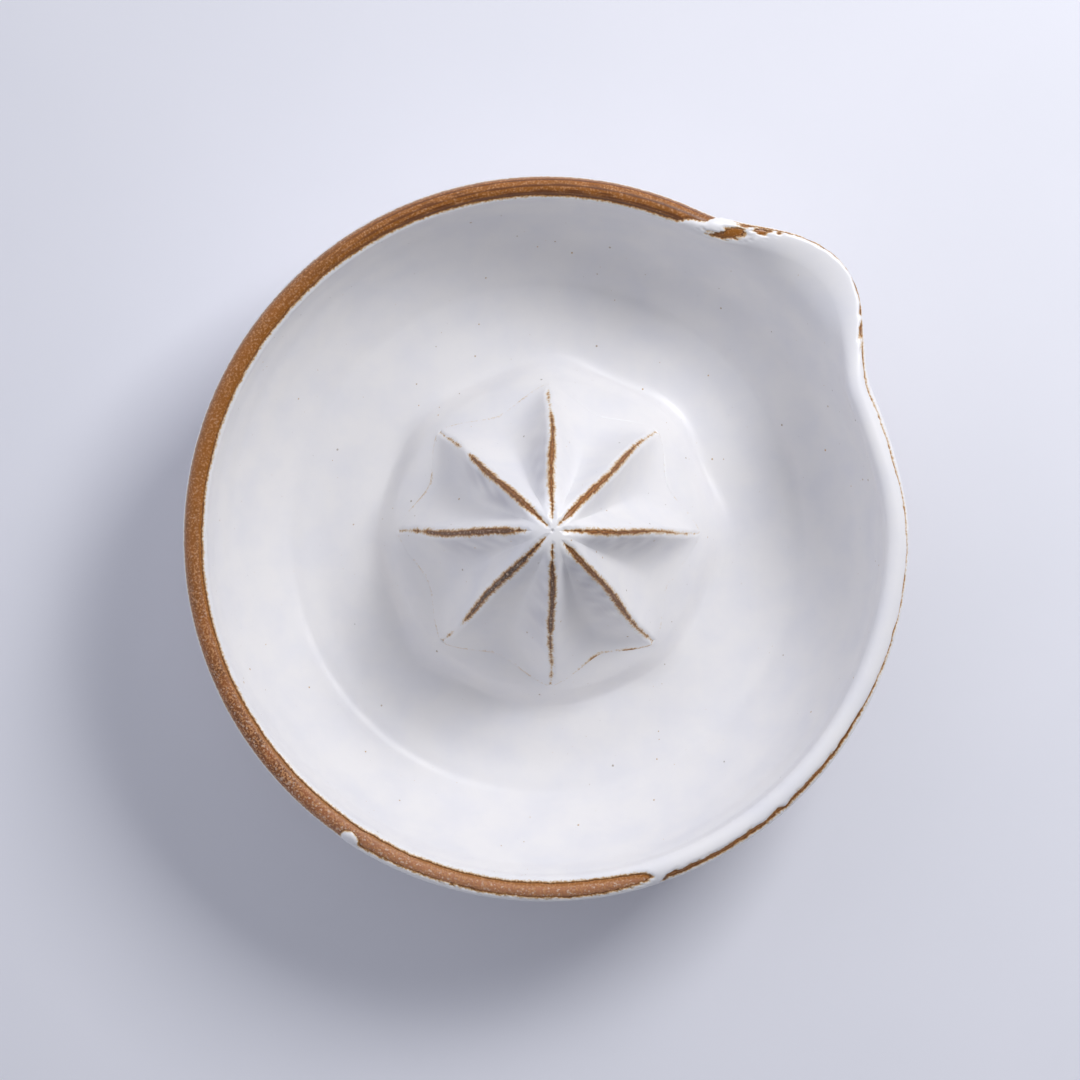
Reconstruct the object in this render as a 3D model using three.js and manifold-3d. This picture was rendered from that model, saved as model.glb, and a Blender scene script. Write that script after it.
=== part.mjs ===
// Hand citrus juicer: a thrown stoneware bowl with a pulled pouring lip, a foot ring under it and
// a hollow fluted reamer luted to its floor. White glaze coats cover the clay, and leave bare the
// rim round most of its length, the crests of the reamer's ribs and the foot.
// Millimetres, +Z up. The origin is on the table under the bowl's axis.
import * as THREE from "three";
import { mergeVertices } from "three/addons/utils/BufferGeometryUtils.js";
import Module from "manifold-3d";

const wasm = await Module();
wasm.setup();

// Bowl
const HEIGHT = 42; // table to the top of the rim
const RIM_RADIUS = 75; // outside of the rim
const RIM_WIDTH = 4; // across the rounded rim
const FLOOR = 6; // thickness of the floor
const TROUGH_WIDTH = 6.7; // flat floor between the luting coil and the wall's curve

// Foot ring
const FOOT_HEIGHT = 5;
const FOOT_RADIUS = 42; // outside, where it meets the bowl
const FOOT_WIDTH = 6.5; // across its top
const FOOT_DRAFT = 1; // how far each side leans in toward the table
const FOOT_EDGE = 0.7; // eased edge along the table
const FOOT_SHOULDER = 3; // flat underside of the bowl outside the foot

// Pouring lip, pulled out of the wall
const LIP_ANGLE = 43; // degrees from +X
const LIP_SPREAD_RIGHT = 19; // degrees toward +X
const LIP_SPREAD_LEFT = 22; // degrees toward +Y
const LIP_REACH = 7.6; // beyond the rim's own circle, at the rim's spring line
const LIP_DIP = 2.2; // below the rim's own height
const LIP_ROOT = 8; // above the floor, where the pull begins
const LIP_FLARE = 3.6; // 1 pulls the wall out evenly, more turns it out toward the rim
const PINCH_ANGLE = 20; // degrees from +X, the thumb's place beside the lip
const PINCH_SPREAD = 22;
const PINCH_DEPTH = 1.2;

// Reamer
const RIBS = 8;
const REAMER_RADIUS = 35; // rib crests at the floor
const REAMER_HEIGHT = 48; // floor to tip
const CREST_BULGE = 1.15; // 1 gives straight crests, more gives a fuller cone
const TIP_ROUND = 10; // how far out the tip's round takes to run into the crests
const SCOOP_SHARE = 0.357; // how far toward the axis the middle of a flute is cut, as a share
const SCOOP_TOP = 12.6; // radius of a crest by which a flute has its full depth
const SCOOP_RUN_OUT = 1.35; // how soon a flute grows shallow toward its foot
const HOLLOW_RADIUS = 22; // hollow under the reamer, at the floor
const TIP_CLAY = 11; // solid clay under the tip
const OPENING_LEDGE = 1.5; // the floor's opening is this much smaller than the hollow above it

// Luting coil
const COIL_WIDTH = 4.5; // beyond the rib crests
const COIL_HEIGHT = 10; // its height where it runs in under the flutes
const COIL_REACH = 13; // how far it runs in from the rib crests
const COIL_SHOULDER = 1.6; // over 1, the slope stays high for longer before it falls to its edge
const COIL_EDGE = 0.5; // thickness at its outer edge

// Glaze
const GLAZE = 0.5; // thickness of every coat
const FIT = 0.3; // clearance between a coat and what it lies on or meets
const GLAZE_LINE = 6; // lower edge of the outside coat above the foot
const RIM_GLAZE_START = -72; // degrees from +X; the coat runs over the rim from here
const RIM_GLAZE_END = 62;
const BARE_WIDTH = 1.7; // opening in the coat along a rib crest
const BARE_TOP = 6; // radius at which that opening starts
const BARE_END = 5; // how far inside the crest's foot it stops

// Facets
const BOWL_SEGMENTS = 56;
const FLUTE_SEGMENTS = 6; // in one flute
const HOLLOW_SEGMENTS = 24;
const WALL_STEPS = 7;
const ROW_EASE = 1.3; // over 1, rows lie closer toward the rim and toward the tip
const RIM_STEPS = 5;
const CREST_STEPS = 7;
const COIL_STEPS = 4;

// Derived levels and radii
const FLOOR_TOP = FOOT_HEIGHT + FLOOR;
const RIM_SPRING = HEIGHT - RIM_WIDTH / 2;
const RIM_INSIDE = RIM_RADIUS - RIM_WIDTH;
const COIL_RADIUS = REAMER_RADIUS + COIL_WIDTH;
const FLOOR_RADIUS = COIL_RADIUS + TROUGH_WIDTH;
const BASE_RADIUS = FOOT_RADIUS + FOOT_SHOULDER;
const HOLLOW_HEIGHT = REAMER_HEIGHT - TIP_CLAY;
const OPENING_RADIUS = HOLLOW_RADIUS - OPENING_LEDGE;
const PAST = 1; // how far a cutter runs past the face that it cuts
const SLOPE_STEP = 0.001; // share to each side over which a crest's slope is taken

const BARE_CLAY = { color: "#8f5c36", roughness: 0.7, metalness: 0 };
const WHITE_GLAZE = { color: "#ecebee", roughness: 0.32, metalness: 0 };

const radians = THREE.MathUtils.degToRad;
const ramp = THREE.MathUtils.smoothstep;

/** A smooth hump of height 1 over an angle, nothing beyond its spread on either side. */
function hump(angle, middle, below, above) {
  const turn = THREE.MathUtils.euclideanModulo(angle - middle + Math.PI, 2 * Math.PI) - Math.PI;
  const spread = turn < 0 ? below : above;
  const share = Math.min(Math.abs(turn) / spread, 1);
  return (1 + Math.cos(Math.PI * share)) / 2;
}

/** Revolves a profile of radius and height about Z; the clay is on the right hand along it. */
function thrown(profile, segments) {
  return new THREE.LatheGeometry([...profile].reverse(), segments).rotateX(Math.PI / 2);
}

/** Moves every vertex by a rule on its radius, angle and height. */
function reshape(geometry, rule) {
  const position = geometry.getAttribute("position");
  for (let i = 0; i < position.count; i += 1) {
    const angle = Math.atan2(position.getY(i), position.getX(i));
    const radius = Math.hypot(position.getX(i), position.getY(i));
    const [newRadius, newHeight] = rule(radius, angle, position.getZ(i));
    position.setXYZ(i, newRadius * Math.cos(angle), newRadius * Math.sin(angle), newHeight);
  }
  return geometry;
}

/** Pulls the pouring lip out of the wall and presses the thumb's place beside it. */
function pullLip(geometry) {
  return reshape(geometry, (radius, angle, height) => {
    const root = FLOOR_TOP + LIP_ROOT;
    const rise = Math.max((height - root) / (RIM_SPRING - root), 0);
    const pull = rise ** LIP_FLARE;
    const lip = pull * hump(angle, radians(LIP_ANGLE), radians(LIP_SPREAD_RIGHT), radians(LIP_SPREAD_LEFT));
    const pinch = pull * hump(angle, radians(PINCH_ANGLE), radians(PINCH_SPREAD), radians(PINCH_SPREAD));
    return [radius + LIP_REACH * lip - PINCH_DEPTH * pinch, height - LIP_DIP * lip];
  });
}

/** Scoops the flutes between the ribs. */
function scoop(geometry) {
  const pitch = (2 * Math.PI) / RIBS;
  return reshape(geometry, (radius, angle, height) => {
    const across = THREE.MathUtils.euclideanModulo(angle / pitch, 1) * 2 - 1;
    const full = Math.max(1 - SCOOP_RUN_OUT * (radius / REAMER_RADIUS) ** 5, 0);
    const depth = SCOOP_SHARE * full * ramp(radius, 0, SCOOP_TOP);
    return [radius * (1 - depth * (1 - across * across)), height];
  });
}

/** A closed solid from a geometry. */
function solidOf(geometry) {
  const bare = new THREE.BufferGeometry();
  bare.setAttribute("position", geometry.getAttribute("position"));
  bare.setIndex(geometry.getIndex());
  const merged = mergeVertices(bare, 1e-3);
  const index = merged.getIndex().array;
  const corners = [];
  for (let i = 0; i < index.length; i += 3) {
    const [a, b, c] = [index[i], index[i + 1], index[i + 2]];
    if (a !== b && b !== c && c !== a) corners.push(a, b, c);
  }
  const vertProperties = Float32Array.from(merged.getAttribute("position").array);
  const triVerts = Uint32Array.from(corners);
  return new wasm.Manifold(new wasm.Mesh({ numProp: 3, vertProperties, triVerts }));
}

/** The geometry of a closed solid. */
function geometryOf(solid) {
  const mesh = solid.getMesh();
  const geometry = new THREE.BufferGeometry();
  geometry.setAttribute("position", new THREE.BufferAttribute(mesh.vertProperties, 3));
  geometry.setIndex(new THREE.BufferAttribute(mesh.triVerts, 1));
  return geometry;
}

/** Elliptic stretch of wall, from a flat at its start up to the rim's spring line. */
function wall(flatRadius, flatHeight, rimRadius) {
  const points = [];
  for (let i = 0; i <= WALL_STEPS; i += 1) {
    const turn = (Math.PI / 2) * (1 - (1 - i / WALL_STEPS) ** ROW_EASE);
    const radius = flatRadius + (rimRadius - flatRadius) * Math.sin(turn);
    points.push(new THREE.Vector2(radius, RIM_SPRING - (RIM_SPRING - flatHeight) * Math.cos(turn)));
  }
  return points;
}

/** Inside of the wall from the floor up, with a lining of the given depth. */
function insideWall(depth) {
  return wall(FLOOR_RADIUS, FLOOR_TOP + depth, RIM_INSIDE - depth);
}

/** Outside of the wall from the base up, under a coat of the given depth. */
function outsideWall(depth) {
  return wall(BASE_RADIUS, FOOT_HEIGHT - depth, RIM_RADIUS + depth);
}

/** Round of the rim from inside to outside, under a coat of the given depth. */
function rimRound(depth) {
  const points = [];
  for (let i = 0; i <= RIM_STEPS; i += 1) {
    const turn = Math.PI * (1 - i / RIM_STEPS);
    const half = RIM_WIDTH / 2 + depth;
    const radius = RIM_RADIUS - RIM_WIDTH / 2 + half * Math.cos(turn);
    points.push(new THREE.Vector2(radius, RIM_SPRING + half * Math.sin(turn)));
  }
  return points;
}

/** Slope of the luting coil from under the flutes out to its edge, under a coat of the given depth. */
function coilSlope(depth) {
  const points = [];
  for (let i = 0; i <= COIL_STEPS; i += 1) {
    const share = i / COIL_STEPS;
    const radius = THREE.MathUtils.lerp(REAMER_RADIUS - COIL_REACH, COIL_RADIUS, share);
    const rise = (COIL_HEIGHT - COIL_EDGE) * (1 + Math.cos(Math.PI * share ** COIL_SHOULDER)) / 2;
    points.push(new THREE.Vector2(radius, FLOOR_TOP + COIL_EDGE + rise + depth));
  }
  return points;
}

/** How far a crest has fallen, from 0 at the tip to 1 at the floor, at a share of its way out. */
function fallen(share) {
  const round = TIP_ROUND / REAMER_RADIUS;
  const run = (Math.hypot(share, round) - round) / (Math.hypot(1, round) - round);
  return run ** CREST_BULGE;
}

/** Crest of a rib from the tip down to the floor, moved outward by the given depth. */
function crest(depth, radius = REAMER_RADIUS, height = REAMER_HEIGHT) {
  const points = [];
  for (let i = 0; i <= CREST_STEPS; i += 1) {
    const share = (i / CREST_STEPS) ** ROW_EASE;
    const slope = (fallen(share + SLOPE_STEP) - fallen(share - SLOPE_STEP)) / (2 * SLOPE_STEP);
    const outward = new THREE.Vector2(height * slope, radius).setLength(depth);
    const top = height * (1 - fallen(share));
    points.push(new THREE.Vector2(radius * share + outward.x, FLOOR_TOP + top + outward.y));
  }
  points[0].x = 0;
  return points;
}

/** Solid fluted cone, grown by the given depth and carried on below the floor's top. */
function flutedCone(depth, below) {
  const profile = crest(depth);
  const foot = FLOOR_TOP - below;
  profile.push(new THREE.Vector2(profile[CREST_STEPS].x, foot), new THREE.Vector2(0, foot));
  return solidOf(scoop(thrown(profile, RIBS * FLUTE_SEGMENTS)));
}

/** One upright plate for each rib, of the given width, along the stretch of crest that is bare. */
function ribPlates(width, shorter) {
  const inner = BARE_TOP + shorter;
  const outer = REAMER_RADIUS - BARE_END - shorter;
  const top = FLOOR_TOP + REAMER_HEIGHT + PAST;
  const plate = new THREE.BoxGeometry(outer - inner, width, top - FLOOR_TOP);
  plate.translate((inner + outer) / 2, 0, (top + FLOOR_TOP) / 2);
  const plates = [];
  for (let i = 0; i < RIBS; i += 1) {
    plates.push(solidOf(plate.clone().rotateZ((2 * Math.PI * i) / RIBS)));
  }
  return wasm.Manifold.union(plates);
}

function piece(name, geometry, finish) {
  const mesh = new THREE.Mesh(geometry, new THREE.MeshStandardMaterial(finish));
  mesh.name = name;
  return mesh;
}

/** Ring of clay between the floor's opening, the wall's two sides and the rim, grown by the given depth. */
function bowlForm(depth) {
  const profile = [
    new THREE.Vector2(OPENING_RADIUS, FLOOR_TOP + depth),
    ...insideWall(depth),
    ...rimRound(depth).slice(1, -1),
    ...outsideWall(depth).reverse(),
    new THREE.Vector2(OPENING_RADIUS, FOOT_HEIGHT - depth),
    new THREE.Vector2(OPENING_RADIUS, FLOOR_TOP + depth),
  ];
  return solidOf(pullLip(thrown(profile, BOWL_SEGMENTS)));
}

function bowlBody() {
  return piece("bowl_body", geometryOf(bowlForm(0)), BARE_CLAY);
}

function footRing() {
  const inside = FOOT_RADIUS - FOOT_WIDTH;
  const profile = [
    new THREE.Vector2(inside, FOOT_HEIGHT),
    new THREE.Vector2(FOOT_RADIUS, FOOT_HEIGHT),
    new THREE.Vector2(FOOT_RADIUS - FOOT_DRAFT, FOOT_EDGE),
    new THREE.Vector2(FOOT_RADIUS - FOOT_DRAFT - FOOT_EDGE, 0),
    new THREE.Vector2(inside + FOOT_DRAFT + FOOT_EDGE, 0),
    new THREE.Vector2(inside + FOOT_DRAFT, FOOT_EDGE),
    new THREE.Vector2(inside, FOOT_HEIGHT),
  ];
  return piece("foot_ring", geometryOf(solidOf(thrown(profile, BOWL_SEGMENTS))), BARE_CLAY);
}

/** Hollow fluted cone, with a strip of clay standing level with the coat along each bare crest. */
function reamerCone() {
  const hollow = crest(0, HOLLOW_RADIUS, HOLLOW_HEIGHT);
  hollow.push(new THREE.Vector2(HOLLOW_RADIUS, FLOOR_TOP - PAST), new THREE.Vector2(0, FLOOR_TOP - PAST));
  const strips = flutedCone(FIT + GLAZE, 0).intersect(ribPlates(BARE_WIDTH - 2 * FIT, FIT));
  const cone = flutedCone(0, 0).add(strips).subtract(solidOf(thrown(hollow, HOLLOW_SEGMENTS)));
  return piece("reamer_cone", geometryOf(cone), BARE_CLAY);
}

/** Ring under the coil's slope, grown by the given depth and carried on below the floor's top. */
function coilForm(depth, below) {
  const profile = coilSlope(depth);
  profile.push(new THREE.Vector2(COIL_RADIUS + depth, FLOOR_TOP - below));
  profile.push(new THREE.Vector2(profile[0].x, FLOOR_TOP - below), profile[0]);
  return solidOf(thrown(profile, BOWL_SEGMENTS));
}

function lutingCoil() {
  return piece("luting_coil", geometryOf(coilForm(0, 0).subtract(flutedCone(FIT, PAST))), BARE_CLAY);
}

/** Coat on the apron, the floor and the wall, up to the rim's spring line. */
function linerGlaze() {
  const over = [...coilSlope(FIT + GLAZE), ...insideWall(FIT + GLAZE)];
  const back = insideWall(-PAST).reverse();
  back.push(new THREE.Vector2(over[0].x, FLOOR_TOP - PAST), over[0]);
  const blank = solidOf(pullLip(thrown([...over, ...back], BOWL_SEGMENTS)));
  const clay = bowlForm(FIT).add(coilForm(FIT, PAST)).add(flutedCone(FIT, PAST));
  return piece("liner_glaze", geometryOf(blank.subtract(clay)), WHITE_GLAZE);
}

/** Coat on the reamer above the apron, open along the bare rib crests. */
function reamerGlaze() {
  const shell = flutedCone(FIT + GLAZE, 0).subtract(flutedCone(FIT, PAST));
  const apron = coilSlope(2 * FIT + GLAZE);
  const edge = apron[COIL_STEPS];
  apron.unshift(new THREE.Vector2(0, apron[0].y));
  apron.push(new THREE.Vector2(edge.x + PAST, edge.y), new THREE.Vector2(edge.x + PAST, FLOOR_TOP - PAST));
  apron.push(new THREE.Vector2(0, FLOOR_TOP - PAST));
  const below = solidOf(thrown(apron, BOWL_SEGMENTS));
  const coat = shell.subtract(below).subtract(ribPlates(BARE_WIDTH, 0));
  return piece("reamer_glaze", geometryOf(coat), WHITE_GLAZE);
}

/** Coat outside, from the glaze line above the foot up to the rim's spring line. */
function outsideGlaze() {
  const over = outsideWall(FIT + GLAZE).reverse();
  const blank = pullLip(thrown([...outsideWall(-PAST), ...over, outsideWall(-PAST)[0]], BOWL_SEGMENTS));
  const line = FOOT_HEIGHT + GLAZE_LINE;
  const lower = new THREE.CylinderGeometry(RIM_RADIUS, RIM_RADIUS, line + PAST, BOWL_SEGMENTS);
  lower.rotateX(Math.PI / 2).translate(0, 0, (line - PAST) / 2);
  const coat = solidOf(blank).subtract(bowlForm(FIT)).subtract(solidOf(lower));
  return piece("outside_glaze", geometryOf(coat), WHITE_GLAZE);
}

/** Coat over the rim and the pouring lip, from its start angle round to its end angle. */
function rimGlaze() {
  const over = rimRound(FIT + GLAZE);
  over[0].y += FIT;
  over[RIM_STEPS].y += FIT;
  const ring = solidOf(pullLip(thrown([...over, over[0]], BOWL_SEGMENTS))).subtract(bowlForm(FIT));
  const far = 2 * RIM_RADIUS;
  const start = radians(RIM_GLAZE_START);
  const sector = new THREE.Shape();
  sector.moveTo(0, 0).lineTo(far * Math.cos(start), far * Math.sin(start));
  sector.absarc(0, 0, far, start, radians(RIM_GLAZE_END), false);
  const wedge = new THREE.ExtrudeGeometry(sector, { depth: 2 * HEIGHT, bevelEnabled: false });
  return piece("rim_glaze", geometryOf(ring.intersect(solidOf(wedge))), WHITE_GLAZE);
}

const juicer = new THREE.Group();
juicer.name = "hand_citrus_juicer";
juicer.add(bowlBody(), footRing(), reamerCone(), lutingCoil());
juicer.add(linerGlaze(), reamerGlaze(), outsideGlaze(), rimGlaze());

export default juicer;
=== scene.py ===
"""Looks of the hand citrus juicer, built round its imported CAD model.

The juicer is hand-thrown stoneware: a bowl with a pulled pouring lip and a turned foot, and a hollow
fluted reamer luted to its floor. A satin white glaze covers it, and iron-brown clay shows where the
glaze was wiped off the rim, where it ran off the ribs and on the foot.
Sizes in the classes are millimetres; meshes are metres, in the frame of the CAD model.
"""

import logging
import math
from dataclasses import dataclass
from enum import Enum

import bpy
import numpy as np
from bpy.types import Material, Mesh, Node, NodeSocket, NodeTree, Object
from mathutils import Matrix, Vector


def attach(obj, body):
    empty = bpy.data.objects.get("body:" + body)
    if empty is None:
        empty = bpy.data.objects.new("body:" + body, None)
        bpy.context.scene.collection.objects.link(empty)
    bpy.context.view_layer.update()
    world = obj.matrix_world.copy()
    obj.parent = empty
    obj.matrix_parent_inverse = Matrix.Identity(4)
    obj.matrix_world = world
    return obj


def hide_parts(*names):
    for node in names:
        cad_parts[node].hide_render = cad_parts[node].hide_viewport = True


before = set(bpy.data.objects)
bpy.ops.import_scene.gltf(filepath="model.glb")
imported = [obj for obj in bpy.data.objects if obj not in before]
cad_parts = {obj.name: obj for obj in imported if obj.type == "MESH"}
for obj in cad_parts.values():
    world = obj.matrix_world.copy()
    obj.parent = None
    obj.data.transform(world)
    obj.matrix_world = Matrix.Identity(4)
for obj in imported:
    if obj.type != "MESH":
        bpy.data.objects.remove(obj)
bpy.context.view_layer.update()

Array = np.ndarray
LOG = logging.getLogger("juicer")
BODY = "root"
MM = 0.001
TAU = 2 * math.pi
FRAME_PIXELS = 1080
HALVINGS = 30
FAR_INSIDE = -999


class Slot(Enum):
    """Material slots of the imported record."""

    BARE_CLAY = "bare_clay"
    WHITE_GLAZE = "white_glaze"


class Coat(Enum):
    """The three coats of glaze on the bowl, each with the CAD node that it stands for."""

    LINER = "liner_glaze"
    RIM = "rim_glaze"
    OUTSIDE = "outside_glaze"


def linear(colour: str) -> tuple[float, float, float, float]:
    """Turn an sRGB hex colour into linear red, green and blue, with an alpha of 1."""
    shares = [int(colour[i : i + 2], 16) / 255 for i in (1, 3, 5)]
    return (*(s / 12.92 if s <= 0.04045 else ((s + 0.055) / 1.055) ** 2.4 for s in shares), 1.0)


def per_metre(size: float) -> float:
    """Scale of a pattern whose features are the given number of millimetres across."""
    return 1 / (size * MM)


def add_node(
    tree: NodeTree, kind: str, inputs: dict[str | int, object] | None = None, **settings: object
) -> Node:
    """Add one node, set its properties, and fill or link its inputs.

    Args:
        tree: Node tree that gets the node.
        kind: Blender's name of the node type.
        inputs: A constant, a socket or a node (its first output), by the input's name or number.
        settings: Properties of the node itself.

    Returns:
        The new node.
    """
    node = tree.nodes.new(kind)
    for name, value in settings.items():
        setattr(node, name, value)
    for key, value in (inputs or {}).items():
        if isinstance(value, Node):
            value = value.outputs[0]
        if isinstance(value, NodeSocket):
            tree.links.new(value, node.inputs[key])
        else:
            node.inputs[key].default_value = value
    return node


def empty_material(name: str) -> tuple[Material, NodeTree]:
    """Make a material with no nodes; gives the material and its node tree."""
    material = bpy.data.materials.new(name)
    material.use_nodes = True
    material.node_tree.nodes.clear()
    return material, material.node_tree


def ramp(values: Array, low: float, high: float) -> Array:
    """Ease values from 0 at and below the low end to 1 at and above the high end."""
    share = np.clip((values - low) / (high - low), 0, 1)
    return share * share * (3 - 2 * share)


def turn_between(angles: Array, middle: float) -> Array:
    """Signed turn in degrees from a middle angle to each angle, from -180 to 180."""
    return (angles - middle + 180) % 360 - 180


def round_axis(radius: Array, angle: Array, height: Array) -> Array:
    """Points at the given radii, angles in radians and heights."""
    return np.stack([radius * np.cos(angle), radius * np.sin(angle), height], axis=-1)


@dataclass(frozen=True)
class Ripple:
    """Seeded ripple without direction; its values lie mostly between -1 and 1.

    Attributes:
        size: Usual distance between two crests, in millimetres.
        seed: Seed of the random draw.
        waves: Number of plane waves that are added.
    """

    size: float
    seed: int
    waves: int = 14

    def at(self, points: Array) -> Array:
        """Work out the ripple at points.

        Args:
            points: Points in millimetres, with x, y and z along the last axis.

        Returns:
            One value for each point.
        """
        draw = np.random.default_rng(self.seed)
        heading = draw.normal(size=(self.waves, 3))
        heading /= np.linalg.norm(heading, axis=1, keepdims=True)
        pitch = TAU / (self.size * draw.uniform(0.7, 1.6, self.waves))
        phase = draw.uniform(0, TAU, self.waves)
        swing = points @ (heading * pitch[:, None]).T + phase
        return np.sin(swing).sum(axis=-1) * 0.6 / math.sqrt(self.waves / 2)


@dataclass
class Skin:
    """A grid of points on a surface: rows along a section, columns round the axis.

    Attributes:
        points: Points in millimetres, by row and column.
        closed_rows: Whether the last row joins the first, as on a ring of clay.
    """

    points: Array
    closed_rows: bool = False

    def normals(self) -> Array:
        """Outward unit normals by row and column."""
        across = np.roll(self.points, -1, axis=1) - np.roll(self.points, 1, axis=1)
        if self.closed_rows:
            along = np.roll(self.points, -1, axis=0) - np.roll(self.points, 1, axis=0)
        else:
            along = np.gradient(self.points, axis=0)
        normal = np.cross(along, across)
        length = np.linalg.norm(normal, axis=-1, keepdims=True)
        return normal / np.maximum(length, 1e-9)

    def quads(self) -> Array:
        """Corner numbers of each face, by row and column of faces, facing outward."""
        rows, columns = self.points.shape[:2]
        number = np.arange(rows * columns).reshape(rows, columns)
        right = np.roll(number, -1, axis=1)
        if self.closed_rows:
            below, below_right = np.roll(number, -1, axis=0), np.roll(right, -1, axis=0)
        else:
            below, below_right = number[1:], right[1:]
            number, right = number[:-1], right[:-1]
        return np.stack([number, below, below_right, right], axis=-1)


def set_values(mesh: Mesh, values: dict[str, Array]) -> None:
    """Store named values on a mesh, one for each vertex."""
    for name, numbers in values.items():
        layer = mesh.attributes.new(name, "FLOAT", "POINT")
        layer.data.foreach_set("value", np.ascontiguousarray(numbers, dtype=np.float32))


def vertices_of(mesh: Mesh) -> Array:
    """Vertices of a mesh in metres, one to a row."""
    place = np.empty(len(mesh.vertices) * 3, dtype=np.float32)
    mesh.vertices.foreach_get("co", place)
    return place.reshape(-1, 3)


def new_piece(
    name: str,
    points: Array,
    faces: list[tuple[int, ...]] | Array,
    material: Material,
    attributes: dict[str, Array] | None = None,
    normals: Array | None = None,
) -> Object:
    """Make a smooth-shaded mesh object at the origin.

    Args:
        name: Name of the object and its mesh.
        points: Vertices in millimetres.
        faces: Corner numbers of each face.
        material: Finish of the piece.
        attributes: Values for each vertex that the finish reads.
        normals: Shading normals for each vertex, where those of the faces won't do.

    Returns:
        The object, linked to the scene.
    """
    mesh = bpy.data.meshes.new(name)
    mesh.from_pydata((points * MM).tolist(), [], np.asarray(faces).tolist() if len(faces) else [])
    mesh.shade_smooth()
    set_values(mesh, attributes or {})
    mesh.materials.append(material)
    if normals is not None:
        mesh.normals_split_custom_set_from_vertices(normals.tolist())
    piece = bpy.data.objects.new(name, mesh)
    bpy.context.scene.collection.objects.link(piece)
    return piece


def ring_piece(
    name: str, skin: Skin, material: Material, tones: dict[str, Array] | None = None
) -> Object:
    """Make a closed ring of clay from the grid on its skin; the finish reads the tones."""
    values = {key: tone.ravel() for key, tone in (tones or {}).items()}
    return new_piece(name, skin.points.reshape(-1, 3), skin.quads().reshape(-1, 4), material, values)


def coat_piece(
    name: str,
    skin: Skin,
    thickness: Array,
    kept: Array,
    material: Material,
    attributes: dict[str, Array],
    bed: float,
) -> Object:
    """Make a closed coat on a clay skin, over the kept faces of its grid.

    Args:
        name: Name of the piece.
        skin: Grid of points on the clay.
        thickness: Height of the coat over the clay, in millimetres, by row and column.
        kept: Whether the coat covers each face of the grid.
        material: Finish of the coat.
        attributes: Values by row and column that the finish reads.
        bed: Depth under the clay's skin at which the coat's back lies, in millimetres.

    Returns:
        The coat as an object.
    """
    clay_normals = skin.normals()
    face = skin.points + clay_normals * thickness[..., None]
    back = skin.points - clay_normals * bed
    face_normals = Skin(face, skin.closed_rows).normals()
    quads = skin.quads()
    beside = {
        (1, 0): np.roll(kept, 1, axis=1),
        (3, 2): np.roll(kept, -1, axis=1),
        (0, 3): np.vstack([np.zeros_like(kept[:1]), kept[:-1]]),
        (2, 1): np.vstack([kept[1:], np.zeros_like(kept[:1])]),
    }
    count = face.shape[0] * face.shape[1]
    front = quads[kept]
    faces = [front, front[:, ::-1] + count]
    for (start, end), neighbour in beside.items():
        edge = quads[kept & ~neighbour]
        near, far = edge[:, start], edge[:, end]
        faces.append(np.stack([near, far, far + count, near + count], axis=-1))
    corners = np.concatenate(faces)
    used, renumbered = np.unique(corners, return_inverse=True)
    points = np.concatenate([face.reshape(-1, 3), back.reshape(-1, 3)])[used]
    shading = np.concatenate([face_normals.reshape(-1, 3), -clay_normals.reshape(-1, 3)])[used]
    values = {k: np.concatenate([v.ravel(), v.ravel()])[used] for k, v in attributes.items()}
    return new_piece(name, points, renumbered.reshape(corners.shape), material, values, shading)


def close_material(tree: NodeTree, inputs: dict[str, object]) -> None:
    """End a finish in its shader, with a constant or a link for each input."""
    shader = add_node(tree, "ShaderNodeBsdfPrincipled", inputs)
    add_node(tree, "ShaderNodeOutputMaterial", {"Surface": shader})


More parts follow.
